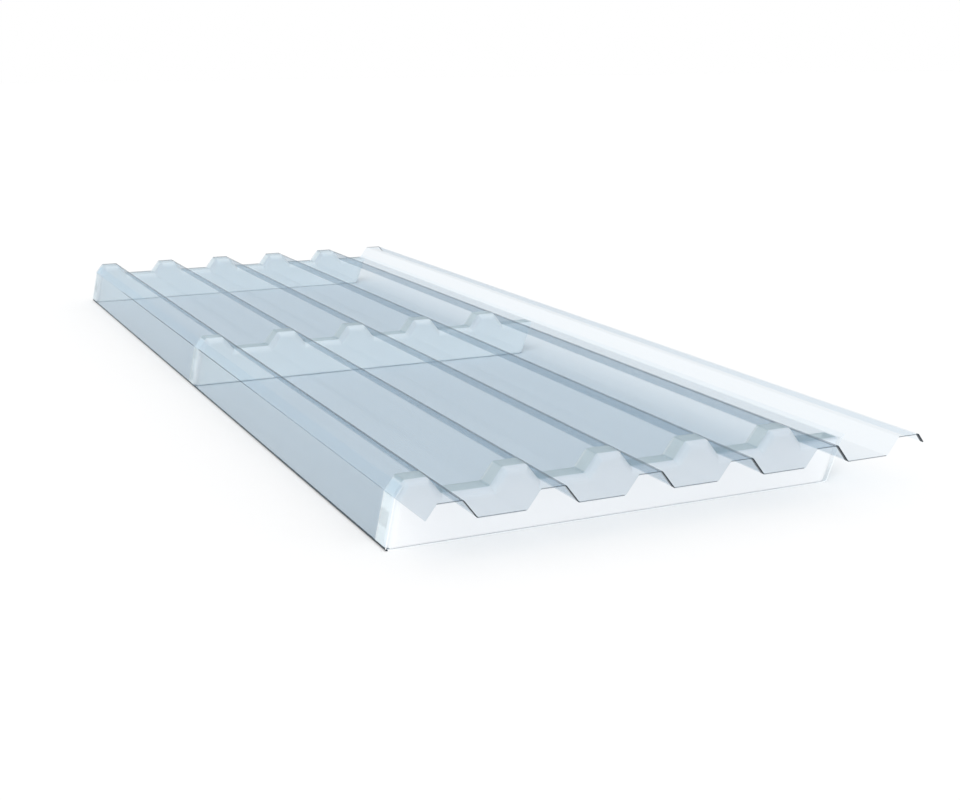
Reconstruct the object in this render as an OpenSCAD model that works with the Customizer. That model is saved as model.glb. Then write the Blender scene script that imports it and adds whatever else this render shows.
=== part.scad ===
// Clear insulated rooflight panel. A folded outer sheet and a liner tray hold an air space
// between them, and three formed closures shut it at both ends and across the middle.
// X runs across the ribs, Y along them from the lapped end, and Z is up.
// The origin is the middle of the panel's overall width and length, on the tray's underside.

/* [Outer sheet] */
// Length of the outer sheet along its ribs
sheet_length = 3000; // [1500:10:6000]
// Distance from one rib to the next
rib_pitch = 200; // [160:1:300]
// Number of ribs, counting the side lap rib that covers the next panel
rib_count = 6; // [3:1:8]
// Width of a rib's flat crest, over the outside of the sheet
crest_width = 51; // [40:1:80]
// Sideways run of a rib's sloping web
web_run = 27; // [15:1:35]
// Height of the crests above the valleys
rib_height = 35; // [30:1:60]
// Depth of the first rib's outer web below its crest
outer_web_depth = 28; // [22:1:34]
// Depth of the side lap rib's free web below its crest
lap_web_depth = 18; // [10:1:34]
// Thickness of the outer sheet
sheet_thickness = 2; // [1:0.1:3]
// Inside radius of the sheet's bends
sheet_bend = 4; // [1:0.5:8]

/* [Liner tray] */
// Height from the tray's underside to the underside of the sheet's valleys
panel_depth = 90; // [50:1:200]
// Length of sheet that reaches past the tray, to lap over the panel below
end_lap = 142; // [50:1:300]
// Lean of the wall under the first rib, in degrees from upright
outer_wall_lean = 12; // [0:0.5:25]
// Lean of the wall beside the side lap rib, in degrees from upright
lap_wall_lean = 20.5; // [0:0.5:30]
// Width of the bonded flange under the first rib's outer web
outer_flange = 26; // [8:1:30]
// Width of the bonded flange under the side lap rib's inner web
lap_flange = 12; // [5:1:30]
// Thickness of the tray
tray_thickness = 2; // [1:0.1:3]
// Inside radius of the bend at the foot of the wall under the first rib
outer_wall_bend = 2; // [1:0.5:8]
// Inside radius of the bend at the foot of the wall beside the side lap rib
lap_wall_bend = 8; // [1:0.5:12]
// Inside radius of the bends between the walls and their flanges
flange_bend = 3; // [1:0.5:6]

/* [Closures] */
// Depth of a closure from its face to the edge of its rim, along the ribs
closure_depth = 56; // [30:1:100]
// Radius of the rounded edge between a closure's face and its rim
closure_edge = 16; // [4:1:20]
// Radius of the tighter edge between a closure's face and its foot on the tray
closure_foot = 4; // [0.5:0.5:10]
// Thickness of a closure
closure_thickness = 2; // [1:0.1:3]

/* [Hidden] */

// Chords that make up each bend, and each rounded closure edge
bend_steps = 4;
edge_steps = 5;

valley_top = panel_depth + sheet_thickness;
crest_top = valley_top + rib_height;
half_crest = crest_width / 2;
last_rib = rib_count - 1;
web_slope = [web_run, rib_height] / norm([web_run, rib_height]);

// --- Sections are lists of [x, z] points, with x measured from the first rib's centre ---

function unit(v) = v / norm(v);
function left_of(v) = [-v.y, v.x];
function backwards(list) = [for (i = [len(list) - 1 : -1 : 0]) list[i]];

// Where the line through p along u meets the line through q along v
function meet(p, u, q, v) = p + u * cross(q - p, v) / cross(u, v);

// The corner b of the line a-b-c after its two stretches have moved to their left
function shifted_corner(a, b, c, before, after) =
    meet(b + before * left_of(unit(b - a)), b - a, b + after * left_of(unit(c - b)), c - b);

// An open line moved d to its left, its ends square
function shifted(path, d) =
    let (last = len(path) - 1)
    concat(
        [path[0] + d * left_of(unit(path[1] - path[0]))],
        [for (i = [1 : last - 1]) shifted_corner(path[i - 1], path[i], path[i + 1], d, d)],
        [path[last] + d * left_of(unit(path[last] - path[last - 1]))]
    );

// A closed anticlockwise loop, each of its sides moved inwards by its own distance
function inset(loop, distances) =
    let (n = len(loop))
    [for (i = [0 : n - 1])
        let (before = (i + n - 1) % n, after = (i + 1) % n)
        shifted_corner(loop[before], loop[i], loop[after], distances[before], distances[i])];

// The corner b between a and c, rounded at radius r
function rounded_corner(a, b, c, r) =
    r == 0 ? [b] :
    let (
        u = unit(a - b),
        v = unit(c - b),
        half = acos(u * v) / 2,
        bend = 180 - 2 * half,
        centre = b + unit(u + v) * r / sin(half),
        from = b + u * r / tan(half) - centre,
        to = b + v * r / tan(half) - centre
    )
    [for (k = [0 : bend_steps])
        let (part = bend * k / bend_steps)
        centre + (from * sin(bend - part) + to * sin(part)) / sin(bend)];

function rounded_path(path, radii) =
    let (last = len(path) - 1)
    concat(
        [path[0]],
        [for (i = [1 : last - 1]) each rounded_corner(path[i - 1], path[i], path[i + 1], radii[i])],
        [path[last]]
    );

function rounded_loop(loop, radii) =
    let (n = len(loop))
    [for (i = [0 : n - 1])
        each rounded_corner(loop[(i + n - 1) % n], loop[i], loop[(i + 1) % n], radii[i])];

// Radius of each bend on one face of a sheet whose other face is d to its left:
// the inside radius where this face is inside the bend, and the thickness more where it isn't
function face_radii(path, inside, d) =
    [for (i = [0 : len(path) - 1])
        i == 0 || i == len(path) - 1 ? 0 :
        let (turns_left = cross(path[i] - path[i - 1], path[i + 1] - path[i]) > 0)
        inside[i] + (turns_left == (d > 0) ? abs(d) : 0)];

// The section of a folded sheet: one face along path, the other d to its left
function folded_section(path, inside, d) =
    let (other = shifted(path, d))
    concat(
        rounded_path(path, face_radii(path, inside, d)),
        backwards(rounded_path(other, face_radii(other, inside, -d)))
    );

// --- Outer sheet: trapezoidal ribs, the last one open on its free side ---

function rib_centre(k) = k * rib_pitch;

// A point on a rib's web, at a depth below the crest, on side -1 or 1
function web_point(k, side, depth) =
    [rib_centre(k) + side * (half_crest + web_run * depth / rib_height), crest_top - depth];

sheet_path = concat(
    [web_point(0, -1, outer_web_depth)],
    [for (k = [0 : last_rib]) each concat(
        k > 0 ? [web_point(k, -1, rib_height)] : [],
        [web_point(k, -1, 0), web_point(k, 1, 0)],
        k < last_rib ? [web_point(k, 1, rib_height)] : []
    )],
    [web_point(last_rib, 1, lap_web_depth)]
);
sheet_inside = [for (p = sheet_path) sheet_bend];
sheet_section = folded_section(sheet_path, sheet_inside, -sheet_thickness);
underside = shifted(sheet_path, -sheet_thickness);

// Corners of the underside at rib k: the foot and the crest on each side
rib_corners = 4;
function left_foot(k) = underside[rib_corners * k];
function left_crest(k) = underside[rib_corners * k + 1];
function right_crest(k) = underside[rib_corners * k + 2];
function right_foot(k) = underside[rib_corners * k + 3];

// --- Liner tray: a floor with two leaning walls, each flanged to lie under a web ---

outer_lip = underside[0];
lap_foot = left_foot(last_rib);
lap_wall_rise = [sin(lap_wall_lean), cos(lap_wall_lean)];
lap_wall_face = lap_foot + [tray_thickness / cos(lap_wall_lean), 0];
lap_flange_face = lap_foot - tray_thickness * left_of(web_slope);
tray_path = [
    outer_lip + outer_flange * web_slope,
    outer_lip,
    [outer_lip.x - outer_lip.y * tan(outer_wall_lean), 0],
    meet(lap_wall_face, lap_wall_rise, [0, 0], [1, 0]),
    meet(lap_wall_face, lap_wall_rise, lap_flange_face, web_slope),
    lap_flange_face + lap_flange * web_slope
];
tray_inside = [0, flange_bend, outer_wall_bend, lap_wall_bend, flange_bend, 0];
tray_section = folded_section(tray_path, tray_inside, tray_thickness);
tray_inner = shifted(tray_path, tray_thickness);

// --- Closures: the outline of the air space, anticlockwise from the outer wall's foot ---

outer_wall_top = tray_inner[1];
first_crest = meet(outer_wall_top, web_slope, left_crest(0), [1, 0]);
closure_outline = concat(
    [tray_inner[2], tray_inner[3], lap_foot],
    [for (k = [last_rib - 1 : -1 : 1]) each [right_foot(k), right_crest(k), left_crest(k), left_foot(k)]],
    [right_foot(0), right_crest(0), first_crest, outer_wall_top]
);
closure_radii = concat(
    [outer_wall_bend, lap_wall_bend, 0],
    [for (k = [last_rib - 1 : -1 : 1]) each [0, sheet_bend, sheet_bend, 0]],
    [0, sheet_bend, sheet_bend, flange_bend]
);

// Index of each corner's first point in the rounded outline
function first_point(corner) =
    corner == 0 ? 0 : first_point(corner - 1) + (closure_radii[corner - 1] == 0 ? 1 : bend_steps + 1);
outline_points = first_point(len(closure_outline));

// The outline's face in pieces that each fan out from their first point:
// every rib above the valleys, and the slab below them, whose own corners come first
slab_corners = 3;
function rib_corner(j) = slab_corners + rib_corners * j;
closure_face = concat(
    [for (j = [0 : last_rib - 1])
        let (
            next_rib = first_point(rib_corner(j + 1)),
            wall_top = first_point(rib_corner(j + 1) - 1),
            end = j < last_rib - 1 ? next_rib - 1 : wall_top
        )
        [for (i = [first_point(rib_corner(j)) : end]) i]],
    [concat(
        [for (i = [bend_steps : first_point(rib_corner(0)) - 1]) i],
        [for (j = [0 : last_rib - 2]) each [first_point(rib_corner(j)), first_point(rib_corner(j + 1)) - 1]],
        [first_point(rib_corner(last_rib - 1))],
        [for (i = [first_point(rib_corner(last_rib) - 1) : outline_points - 1]) i],
        [for (i = [0 : bend_steps - 1]) i]
    )]
);

// How far a rounded edge has drawn in from the rim, at a distance behind the face
function edge_inset(radius, behind) =
    behind > radius ? 0 : radius - sqrt(radius ^ 2 - (radius - behind) ^ 2);

// Rings from the face, round the edges, along the rim and back inside:
// [inset of the rim, inset of the foot, distance behind the face]
function edge_ring(wall, angle) =
    let (
        radius = closure_edge - wall,
        foot_radius = max(closure_foot - wall, 0),
        behind = radius * (1 - sin(angle))
    )
    [wall + radius * (1 - cos(angle)), wall + edge_inset(foot_radius, behind), wall + behind];
closure_rings = concat(
    [for (k = [edge_steps : -1 : 0]) edge_ring(0, 90 * k / edge_steps)],
    [[0, 0, closure_depth], [closure_thickness, closure_thickness, closure_depth]],
    [for (k = [0 : edge_steps]) edge_ring(closure_thickness, 90 * k / edge_steps)]
);

// The foot is the outline's first side
function ring_insets(ring) = [for (i = [0 : len(closure_outline) - 1]) i == 0 ? ring[1] : ring[0]];

// --- Placing ---

section_xs = concat([for (p = tray_section) p.x], [for (p = sheet_section) p.x]);
middle_x = (min(section_xs) + max(section_xs)) / 2;

// Moves a piece from the first rib's centre and the sheet's lapped end to the origin
module in_frame() {
    translate([-middle_x, -sheet_length / 2, 0]) children();
}

// Extrudes a section along Y from one end to the other
module along_ribs(from, to) {
    translate([0, to, 0]) rotate([90, 0, 0]) linear_extrude(height = to - from) children();
}

module closure(face_y) {
    n = outline_points;
    last_ring = n * (len(closure_rings) - 1);
    points = [for (ring = closure_rings)
        each [for (p = rounded_loop(inset(closure_outline, ring_insets(ring)), closure_radii))
            [p.x, face_y + ring[2], p.y]]];
    sides = [for (j = [0 : len(closure_rings) - 2]) each
        [for (i = [0 : n - 1]) [j * n + i, j * n + (i + 1) % n, (j + 1) * n + (i + 1) % n, (j + 1) * n + i]]];
    front = [for (piece = closure_face) [for (k = [0 : len(piece) - 1]) piece[k == 0 ? 0 : len(piece) - k]]];
    back = [for (piece = closure_face) [for (i = piece) last_ring + i]];
    polyhedron(points = points, faces = concat(front, sides, back));
}

module outer_sheet() {
    color([0.74, 0.81, 0.86, 0.6])
        in_frame() along_ribs(0, sheet_length) polygon(sheet_section);
}

module liner_tray() {
    color([0.72, 0.80, 0.86, 0.6])
        in_frame() along_ribs(end_lap, sheet_length) polygon(tray_section);
}

module near_closure() {
    color([0.82, 0.88, 0.92, 0.7])
        in_frame() closure(end_lap);
}

module middle_closure() {
    color([0.78, 0.87, 0.93, 0.7])
        in_frame() closure((end_lap + sheet_length - closure_depth) / 2);
}

module far_closure() {
    color([0.78, 0.87, 0.93, 0.7])
        in_frame() closure(sheet_length - closure_depth);
}

outer_sheet();
liner_tray();
near_closure();
middle_closure();
far_closure();
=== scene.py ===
import math

import bpy
from mathutils import Euler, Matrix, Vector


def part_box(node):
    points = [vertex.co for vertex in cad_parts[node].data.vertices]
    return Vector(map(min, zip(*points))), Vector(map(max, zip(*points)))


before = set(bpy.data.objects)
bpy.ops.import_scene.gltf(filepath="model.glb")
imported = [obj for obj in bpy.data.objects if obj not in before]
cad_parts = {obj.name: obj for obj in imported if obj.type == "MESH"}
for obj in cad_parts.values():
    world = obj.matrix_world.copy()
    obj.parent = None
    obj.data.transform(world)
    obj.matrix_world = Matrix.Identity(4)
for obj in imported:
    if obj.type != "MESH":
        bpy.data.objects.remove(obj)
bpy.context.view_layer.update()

# --- Liner tray ---
# The panel's lower skin: one clear polycarbonate sheet, folded into a floor and two leaning
# walls, with a narrow flange on each wall bonded under the outer sheet's first and last webs.


class Number:
    """A shader socket that carries a number. Arithmetic on it adds Math nodes."""

    def __init__(self, nodes, socket):
        self.nodes = nodes
        self.socket = socket

    def maths(self, operation, *others):
        return self.nodes.node("ShaderNodeMath", {"operation": operation}, [self, *others])

    def __add__(self, other):
        return self.maths("ADD", other)

    def __radd__(self, other):
        return self.maths("ADD", other)

    def __sub__(self, other):
        return self.maths("SUBTRACT", other)

    def __rsub__(self, other):
        return self.nodes.node("ShaderNodeMath", {"operation": "SUBTRACT"}, [other, self])

    def __mul__(self, other):
        return self.maths("MULTIPLY", other)

    def __rmul__(self, other):
        return self.maths("MULTIPLY", other)

    def __pow__(self, other):
        return self.maths("POWER", other)

    def __abs__(self):
        return self.maths("ABSOLUTE")

    def highest(self, other):
        return self.maths("MAXIMUM", other)

    def wrapped(self, low, high):
        """The same distance, started again from low each time it reaches high."""
        return self.maths("WRAP", high, low)

    def ramp(self, start, end):
        """0 at the start, 1 at the end, and smooth between them."""
        return self.nodes.node(
            "ShaderNodeMapRange",
            {"interpolation_type": "SMOOTHSTEP"},
            {"Value": self, "From Min": start, "From Max": end},
        )

    def above(self, edge, softness=0.001):
        """1 above the edge and 0 below it, softened on both sides of it."""
        return self.ramp(edge - softness, edge + softness)

    def below(self, edge, softness=0.001):
        """1 below the edge and 0 above it, softened on both sides of it."""
        return self.ramp(edge + softness, edge - softness)


class Nodes:
    """A tree of shader nodes, emptied and ready to be added to."""

    def __init__(self, owner):
        owner.use_nodes = True
        self.tree = owner.node_tree
        self.tree.nodes.clear()

    def node(self, kind, settings, sockets, output=0):
        """Adds a node of that kind and gives one of its outputs."""
        made = self.tree.nodes.new(kind)
        for name, setting in settings.items():
            setattr(made, name, setting)
        pairs = sockets.items() if isinstance(sockets, dict) else enumerate(sockets)
        for name, value in pairs:
            if isinstance(value, Number):
                self.tree.links.new(value.socket, made.inputs[name])
            else:
                made.inputs[name].default_value = value
        return Number(self, made.outputs[output]) if made.outputs else made

    def blend(self, share, first, second):
        """A colour between two others."""
        return self.node(
            "ShaderNodeMix", {"data_type": "RGBA"}, {"Factor": share, 6: first, 7: second}, 2
        )


class Finish(Nodes):
    """A material. Its x, y and z are the place on the piece, and its way the side it faces."""

    def __init__(self, name):
        self.material = bpy.data.materials.new(name)
        super().__init__(self.material)
        self.where = self.node("ShaderNodeTexCoord", {}, {}, "Object")
        self.x, self.y, self.z = self.parts_of(self.where)
        self.way_x, self.way_y, self.way_z = self.parts_of(
            self.node("ShaderNodeTexCoord", {}, {}, "Normal")
        )

    def parts_of(self, vector):
        return [self.node("ShaderNodeSeparateXYZ", {}, [vector], axis) for axis in "XYZ"]

    def cloud(self, size, stretch=(1.0, 1.0, 1.0)):
        """Soft noise from 0 to 1, with lumps of that size, drawn out along an axis by a small stretch."""
        place = self.node("ShaderNodeMapping", {}, {"Vector": self.where, "Scale": stretch})
        return self.node(
            "ShaderNodeTexNoise", {}, {"Vector": place, "Scale": 1.0 / size, "Detail": 3.0}
        )

    def streaks(self):
        """The faint lines that the rolls leave along a sheet."""
        return self.cloud(0.02, (1.0, 0.03, 1.0))

    def uneven(self, roughness):
        """That roughness or a little more, in soft patches."""
        return roughness + 0.10 * self.cloud(0.15)

    def edge_on(self, sharpness):
        """0 where the surface is seen square on, and 1 where it is seen edge on."""
        return self.node("ShaderNodeLayerWeight", {}, {"Blend": 0.5}, "Facing") ** sharpness

    def see_through(self, tint, share, colour, roughness, relief, depth):
        """Ends the finish: a tinted clear sheet, and a body that hides that share of what is behind."""
        bump = self.node("ShaderNodeBump", {}, {"Strength": 0.5, "Distance": depth, "Height": relief})
        body = self.node(
            "ShaderNodeBsdfPrincipled",
            {},
            {
                "Base Color": colour,
                "Roughness": roughness,
                "Normal": bump,
                "IOR": 1.58,
                "Specular IOR Level": 0.15,
            },
        )
        through = self.node("ShaderNodeBsdfTransparent", {}, {"Color": tint})
        mixed = self.node("ShaderNodeMixShader", {}, [share, through, body])
        self.node("ShaderNodeOutputMaterial", {}, {"Surface": mixed})


def put_on(name, finish):
    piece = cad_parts[name]
    piece.data.materials.clear()
    piece.data.materials.append(finish.material)


tray_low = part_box("liner_tray")[0]
sheet_low, sheet_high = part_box("outer_sheet")
near_low, near_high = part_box("near_closure")
middle_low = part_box("middle_closure")[0]
closure_depth = near_high[1] - near_low[1]
closure_spacing = middle_low[1] - near_low[1]
plastic_depths = (0.025, 0.09, 0.15, 1.0)
# Near-black colour of the painted shade lines along cut edges, folds and bends
painted_edge_shade_colour = (0.01, 0.02, 0.03, 1.0)
pale_edge_colour = (0.95, 0.97, 0.98, 1.0)
nearly_solid = 0.95
skimming = 40.0

tray = Finish("clear_tray_plastic")
tray_streaks = tray.streaks()

# Painted shade: a dark line along the fold at the foot of the left wall, where the fold would look dark,
# as the cut edges of clear plastic do
fold_width = 0.005
fold_height = 0.0036
left_fold_shade = (tray.x - tray_low[0]).below(fold_width, 0.0005) * tray.z.below(fold_height, 0.0004)

# Faint painted shade lies on the left wall past the near closure, and less of it where a closure backs it
wall_reach = 0.032
wall_painted_shade = (tray.x - tray_low[0]).below(wall_reach, 0.008) * tray.z.above(0.0035, 0.0015)
tray_past_face = (tray.y - near_low[1]).wrapped(0.0, closure_spacing)
wall_painted_shade = wall_painted_shade * (0.55 + 0.45 * tray_past_face.above(closure_depth))
wall_painted_shade = wall_painted_shade * tray.y.above(near_high[1])

# The left flange is wetted by its adhesive, so it adds no haze of its own
adhesive_foot = sheet_low[2] + 0.0075
bonded = tray.z.above(adhesive_foot, 0.0015) * tray.x.below(-0.05, 0.05)

# The sawn ends, and a strip on the tray under the near closure's foot, are painted pale, as painted light
# over the shade at the tray's foot
bead_width = 0.005
bead_top = 0.00275
sawn_end = abs(tray.way_y).above(0.5, 0.1)
foot_light_strip = (tray.y - near_low[1]).below(bead_width, 0.0005) * tray.z.below(bead_top, 0.00025)
pale_light = sawn_end.highest(nearly_solid * foot_light_strip)

# The tray hides next to nothing, except on its painted shade, its painted light, and where it is seen
# edge on
tray_share = 0.01 + 0.125 * wall_painted_shade + 0.5 * tray.edge_on(skimming)
tray_share = (tray_share + 0.02 * (tray_streaks - 0.5)) * (1.0 - bonded)
tray_share = tray_share.highest(nearly_solid * pale_light).highest(nearly_solid * left_fold_shade)
tray_colour = tray.blend(pale_light, plastic_depths, pale_edge_colour)
tray.see_through(
    tint=(0.975, 0.99, 1.0, 1.0),
    share=tray_share,
    colour=tray.blend(left_fold_shade, tray_colour, painted_edge_shade_colour),
    roughness=tray.uneven(0.10),
    relief=tray_streaks,
    depth=0.0004,
)
put_on("liner_tray", tray)

# --- Closures ---
# Three identical shells, thermoformed from thin clear sheet over one mould, each with a face
# and a rim that follows the ribs. They are bonded in at both ends and half way along.

far_low, far_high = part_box("far_closure")
rib_pitch = 0.200
sheet_thickness = 0.002
rib_height = sheet_high[2] - sheet_low[2] - sheet_thickness
half_crest = 0.0255
web_run = 0.027
outer_web_depth = 0.028
outer_web_run = outer_web_depth * web_run / rib_height
first_rib = sheet_low[0] + outer_web_run + half_crest
closure_edge = 0.016

closure = Finish("clear_closure_plastic")
behind = (closure.y - near_low[1]).wrapped(-0.001, closure_spacing - 0.001)
rim = behind.above(closure_edge - 0.0005, 0.0025)
# Painted highlight: the rear edge of the rim is painted pale where it does not lie flat
rim_edge_highlight = behind.above(closure_depth - 0.005, 0.0005)
lies_flat = closure.way_z.ramp(0.7, 0.95)

# Greenish grey painted shade on the upward-facing top of the rim, fainter at the far closure
rim_top_shade_fades = closure.y.ramp(far_high[1] + 0.2, far_high[1] - 0.5)
rim_top_shade = rim * closure.way_z.ramp(0.25, 0.70) * rim_top_shade_fades
rim_top_shade = rim_top_shade * closure.x.above(first_rib - half_crest, 0.0015)

# The flange that lies on the tray is wetted by its adhesive, and stays clear
flange_top = 0.0044
flange_front = 0.003
flange = closure.z.below(flange_top, 0.0003) * behind.above(flange_front, 0.0005)

# The shell is milky, and less so under the painted shade on the rim's top
closure_share = (0.97 - 0.40 * rim_top_shade) * (1.0 - flange)

# Painted shade: the near closure is a little greyer, because it stands in full light under the open lap,
# and the closures' left-facing sides are greyer, where the lamp falls on them
at_lap = closure.y.below(near_high[1] + 0.0055, 0.0045)
left_side_shade = closure.way_x.ramp(-0.05, -0.45)
closure_colour = closure.blend(at_lap, (0.95, 0.99, 1.0, 1.0), (0.90, 0.91, 0.925, 1.0))
closure_colour = closure.blend(left_side_shade, closure_colour, (0.85, 0.88, 0.90, 1.0))
closure_colour = closure.blend(rim, closure_colour, (0.92, 0.98, 1.0, 1.0))
closure_colour = closure.blend(rim_top_shade, closure_colour, (0.74, 0.83, 0.84, 1.0))
closure.see_through(
    tint=(0.965, 0.98, 0.988, 1.0),
    share=closure_share,
    colour=closure.blend(0.8 * rim_edge_highlight * (1.0 - lies_flat), closure_colour, (0.97, 1.0, 1.0, 1.0)),
    roughness=closure.uneven(0.25),
    relief=closure.cloud(0.004),
    depth=0.0002,
)
for name in ("near_closure", "middle_closure", "far_closure"):
    put_on(name, closure)

# --- Outer sheet ---
# The weathering skin: one clear polycarbonate sheet, roll formed hot into trapezoidal ribs.
# The last rib stands free of the tray, to cover the edge rib of the next panel.

web_angle = math.atan2(rib_height, web_run)
lip_z = sheet_high[2] - outer_web_depth
half_rib = half_crest + web_run
fifth_rib_foot = first_rib + 4 * rib_pitch + half_rib
lap_rib_foot = first_rib + 5 * rib_pitch - half_rib

sheet = Finish("clear_sheet_plastic")
sheet_streaks = sheet.streaks()
across = (sheet.x - first_rib).wrapped(-rib_pitch / 2, rib_pitch / 2)


def on_web(run):
    return run.above(half_crest - 0.001) * run.below(half_rib + 0.001)


# The near end is sawn. Painted shade makes its cut darkest on the webs that fall to the right, and a
# narrow strip of web behind it as well, and leaves it clear on the webs that rise.
falling_web = on_web(across)
rising_web = on_web(-1.0 * across)
sawn_depth = 0.008
sawn_face_shade = sheet.way_y.below(-0.5, 0.1) * (0.65 + 0.35 * falling_web - 0.65 * rising_web)
sawn_web_shade = (sheet.y - sheet_low[1]).below(sawn_depth, 0.0005) * falling_web
painted_edge_shade = sawn_face_shade.highest(sawn_web_shade)

# Painted shade draws the slit edge of the first rib's outer web as a dark line that breaks off at the
# closures' pale rims. It is fainter along its first stretch, and fades out well before the far closure.
lip_width = 0.0019
up_web = math.cos(web_angle) * (sheet.x - sheet_low[0]) + math.sin(web_angle) * (sheet.z - lip_z)
past_lap = sheet.y.above(near_low[1], 0.002)
past_face = (sheet.y - near_low[1]).wrapped(0.0, closure_spacing)
lip_shade = up_web.below(lip_width, 0.0003) * past_lap * past_face.above(closure_depth + 0.005, 0.010)
lip_shade = lip_shade * sheet.y.below(far_low[1] - 0.395, 0.05)
lip_shade = lip_shade * (0.42 + 0.68 * sheet.y.ramp(near_high[1] + 0.45, middle_low[1] - 0.04))
painted_edge_shade = painted_edge_shade.highest(0.6 * lip_shade)

# On the first five ribs, painted shade darkens the bend from the crest into the falling web into a dark
# line where it is seen edge on
bend_shade = across.above(half_crest - 0.0038, 0.0004) * across.below(half_crest + 0.00215, 0.00035)
bend_shade = bend_shade * sheet.edge_on(1.0).above(0.55, 0.1) * sheet.x.below(lap_rib_foot - 0.015, 0.005)
painted_edge_shade = painted_edge_shade.highest(0.75 * bend_shade)

# Faint painted shade lies over the sheet. It is clearer on the lap rib, and on the end lap past the fifth
# rib.
sheet_shade_zone = sheet.x.below(fifth_rib_foot + 0.0025, 0.004)
sheet_shade_zone = sheet_shade_zone.highest(sheet.x.below(lap_rib_foot + 0.0005, 0.0015) * past_lap)
sheet_share = 0.015 + 0.085 * sheet_shade_zone + (0.33 - 0.18 * sheet_shade_zone) * sheet.edge_on(7.0)
sheet_share = sheet_share + 0.5 * sheet.edge_on(skimming) + 0.015 * (sheet_streaks - 0.5)
sheet.see_through(
    tint=(0.965, 0.985, 1.0, 1.0),
    share=sheet_share.highest(nearly_solid * painted_edge_shade),
    colour=sheet.blend(painted_edge_shade, plastic_depths, painted_edge_shade_colour),
    roughness=sheet.uneven(0.10),
    relief=sheet_streaks,
    depth=0.0004,
)
put_on("outer_sheet", sheet)

# --- Floor, light and camera ---
# A white studio floor that keeps the panel's shadow, an even sky, and one very soft lamp
# high in front on the left. The floor lies a hair below the tray.

scene = bpy.context.scene
floor_gap = 0.0001
bpy.ops.mesh.primitive_plane_add(size=60.0, location=(0.0, 0.0, -floor_gap))
floor = bpy.context.object
floor.name = "floor"
floor_material = bpy.data.materials.new("studio_floor")
floor_finish = Nodes(floor_material)
seen = floor_finish.node("ShaderNodeLightPath", {}, {}, "Is Camera Ray")
in_gloss = floor_finish.node("ShaderNodeLightPath", {}, {}, "Is Glossy Ray")
in_glass = floor_finish.node("ShaderNodeLightPath", {}, {}, "Is Transmission Ray")
floor_colour = floor_finish.blend(
    seen.highest(in_gloss).highest(in_glass), (0.8, 0.8, 0.8, 1.0), (0.845, 0.845, 0.845, 1.0)
)
floor_body = floor_finish.node("ShaderNodeBsdfDiffuse", {}, {"Color": floor_colour})
floor_finish.node("ShaderNodeOutputMaterial", {}, {"Surface": floor_body})
floor.data.materials.append(floor_material)

sky_light = 0.90
scene.world = bpy.data.worlds.new("studio")
sky = Nodes(scene.world)
sky_seen = sky.node("ShaderNodeLightPath", {}, {}, "Is Camera Ray")
sky_strength = sky_light + (1.0 - sky_light) * sky_seen
background = sky.node(
    "ShaderNodeBackground", {}, {"Color": (1.0, 1.0, 1.0, 1.0), "Strength": sky_strength}
)
sky.node("ShaderNodeOutputWorld", {}, {"Surface": background})

lamp_light = 0.31
lamp_tilt = math.radians(42.0)
lamp_turn = math.radians(-32.0)
lamp = bpy.data.lights.new("soft_lamp", "SUN")
lamp.energy = lamp_light * math.pi / math.cos(lamp_tilt)
lamp.angle = math.radians(40.0)
lamp_holder = bpy.data.objects.new("soft_lamp", lamp)
lamp_holder.rotation_euler = Euler((lamp_tilt, 0.0, lamp_turn), "XYZ")
scene.collection.objects.link(lamp_holder)

scene.view_settings.view_transform = "Standard"
scene.cycles.transparent_max_bounces = 64

eye = bpy.data.cameras.new("camera")
eye.sensor_width = 36.0
eye.lens = 53.625
camera = bpy.data.objects.new("camera", eye)
scene.collection.objects.link(camera)
camera.location = (-1.4215, -3.6322, 0.8886)
heading = math.radians(-24.967)
downwards = math.radians(14.053)
roll = math.radians(0.092)
camera.rotation_euler = Euler((math.pi / 2 - downwards, roll, heading), "XYZ")
scene.camera = camera
